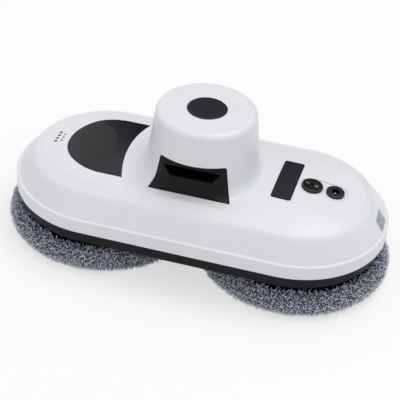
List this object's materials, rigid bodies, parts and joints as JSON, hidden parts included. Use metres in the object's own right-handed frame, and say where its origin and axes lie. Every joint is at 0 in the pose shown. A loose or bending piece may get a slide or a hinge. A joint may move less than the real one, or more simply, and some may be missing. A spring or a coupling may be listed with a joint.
{
  "type": "window cleaning robot",
  "caption": "Window cleaning robot with a rounded white body, a blower tower with black air vents, a rocker switch, and fluffy round pads that spin on geared discs.",
  "frame": {"origin": "on the glass, midway between the axes of the cleaning discs", "axes": "+X along the body toward the switch and the power socket, +Y across the body, +Z away from the glass"},
  "size_m": [0.2954, 0.1474, 0.1159],
  "materials": {
    "shell_white": "glossy white moulded plastic",
    "gloss_black": "polished black plastic",
    "black_plastic": "fine satin black moulded plastic",
    "ring_plastic": "light grey moulded plastic",
    "pile": "grey blue chenille microfibre pile",
    "gear_plastic": "natural gear plastic",
    "steel": "plain steel",
    "pinion_brass": "turned brass",
    "inner_plastic": "dark grey moulded plastic",
    "motor_can": "plated steel can",
    "seal_rubber": "soft black rubber",
    "impeller_plastic": "pale moulded plastic",
    "board_green": "green solder mask",
    "battery_wrap": "blue shrink wrap"
  },
  "bodies": {
    "base": {"top_cover": "shell_white", "tower_badge": "gloss_black", "front_vent": "black_plastic", "rear_vent": "black_plastic", "side_panel": "gloss_black", "switch_housing": "black_plastic", "socket_housing": "black_plastic", "socket_pin": "steel", "base_chassis": "black_plastic", "disc_bearing_left": "steel", "disc_bearing_right": "steel", "idler_pins": "steel", "gearbox_plate_left": "inner_plastic", "gearbox_plate_right": "inner_plastic", "drive_motor_left": "motor_can", "drive_motor_right": "motor_can", "hub_seal_left": "seal_rubber", "hub_seal_right": "seal_rubber", "suction_duct": "inner_plastic", "blower_housing": "inner_plastic", "diffuser_deck": "inner_plastic", "blower_motor": "motor_can", "motor_damper": "seal_rubber", "main_board": "board_green", "ir_receiver": "gloss_black", "buzzer": "black_plastic", "power_board": "board_green", "battery_tray": "inner_plastic", "battery_pack": "battery_wrap", "case_screws": "steel", "plate_screws": "steel", "duct_screws": "steel", "board_screws": "steel"},
    "disc_left": {"wheel_disc_left": "black_plastic", "drive_gear_left": "gear_plastic", "inlet_grille_left": "black_plastic", "cleaning_ring_left": "ring_plastic", "cloth_left": "pile"},
    "disc_right": {"wheel_disc_right": "black_plastic", "drive_gear_right": "gear_plastic", "inlet_grille_right": "black_plastic", "cleaning_ring_right": "ring_plastic", "cloth_right": "pile"},
    "idler_left": {"idler_gear_left": "gear_plastic"},
    "idler_right": {"idler_gear_right": "gear_plastic"},
    "pinion_left": {"motor_pinion_left": "pinion_brass"},
    "pinion_right": {"motor_pinion_right": "pinion_brass"},
    "rotor": {"impeller": "impeller_plastic", "blower_shaft": "steel"},
    "rocker": {"switch_rocker": "black_plastic"}
  },
  "joints": [
    {"name": "left_disc_spin", "type": "hinge", "parent": "base", "child": "disc_left", "pos_m": [-0.074, 0, 0], "axis": [0, 0, 1], "continuous": true},
    {"name": "left_idler_spin", "type": "hinge", "parent": "base", "child": "idler_left", "pos_m": [-0.02983, 0.0255, 0.027], "axis": [0, 0, 1], "continuous": true},
    {"name": "left_pinion_spin", "type": "hinge", "parent": "base", "child": "pinion_left", "pos_m": [-0.01344, 0.04503, 0.027], "axis": [0, 0, 1], "continuous": true},
    {"name": "right_disc_spin", "type": "hinge", "parent": "base", "child": "disc_right", "pos_m": [0.074, 0, 0], "axis": [0, 0, 1], "continuous": true},
    {"name": "right_idler_spin", "type": "hinge", "parent": "base", "child": "idler_right", "pos_m": [0.02983, -0.0255, 0.027], "axis": [0, 0, 1], "continuous": true},
    {"name": "right_pinion_spin", "type": "hinge", "parent": "base", "child": "pinion_right", "pos_m": [0.01344, -0.04503, 0.027], "axis": [0, 0, 1], "continuous": true},
    {"name": "impeller_spin", "type": "hinge", "parent": "base", "child": "rotor", "pos_m": [0, 0, 0.0494], "axis": [0, 0, 1], "continuous": true},
    {"name": "switch_tilt", "type": "hinge", "parent": "base", "child": "rocker", "pos_m": [0.08217, 0, 0.06678], "axis": [0, -1, 0], "range_deg": [0, 14]}
  ],
  "couplings": [
    {"joint": "left_idler_spin", "follows": "left_disc_spin", "ratio": -2.4},
    {"joint": "left_pinion_spin", "follows": "left_disc_spin", "ratio": 3.4286},
    {"joint": "right_idler_spin", "follows": "right_disc_spin", "ratio": -2.4},
    {"joint": "right_pinion_spin", "follows": "right_disc_spin", "ratio": 3.4286}
  ]
}
